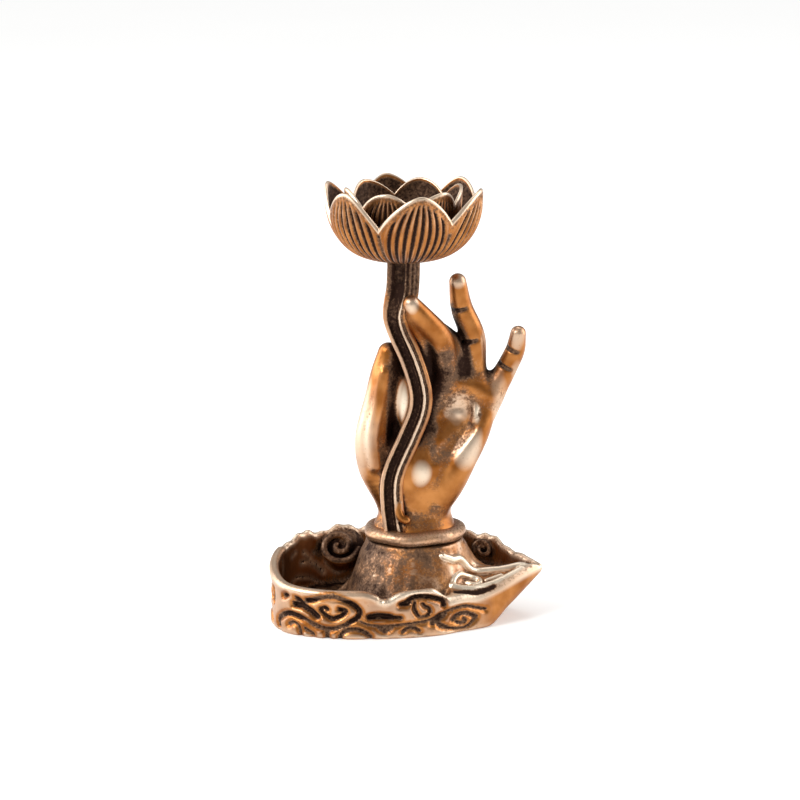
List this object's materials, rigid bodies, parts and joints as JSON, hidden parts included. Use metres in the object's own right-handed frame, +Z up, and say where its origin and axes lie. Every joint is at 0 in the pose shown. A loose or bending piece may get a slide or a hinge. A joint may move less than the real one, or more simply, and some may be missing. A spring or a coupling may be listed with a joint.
{
  "type": "incense stick holder",
  "caption": "Cast brass incense stick holder: a raised hand on a cloud-shaped ash dish holds a lotus by its curved stalk, with a socket for the stick in the flower.",
  "frame": {"origin": "on the table, under the middle of the whole outline", "axes": "+Z up along the stick; +X to the dish's pointed tip; -Y to the side that the palm faces"},
  "size_m": [0.0396, 0.0264, 0.0633],
  "materials": {
    "antique_brass": "cast, darkened and rubbed bright on the raised edges",
    "screw_steel": "plain"
  },
  "bodies": {
    "root": {"cloud_dish": "antique_brass", "wrist_collar": "antique_brass", "palm": "antique_brass", "thumb": "antique_brass", "index_finger": "antique_brass", "middle_finger": "antique_brass", "ring_finger": "antique_brass", "little_finger": "antique_brass", "lotus_stalk": "antique_brass", "outer_petals": "antique_brass", "inner_petals": "antique_brass", "stick_socket": "antique_brass", "hand_screw": "screw_steel"}
  },
  "joints": []
}
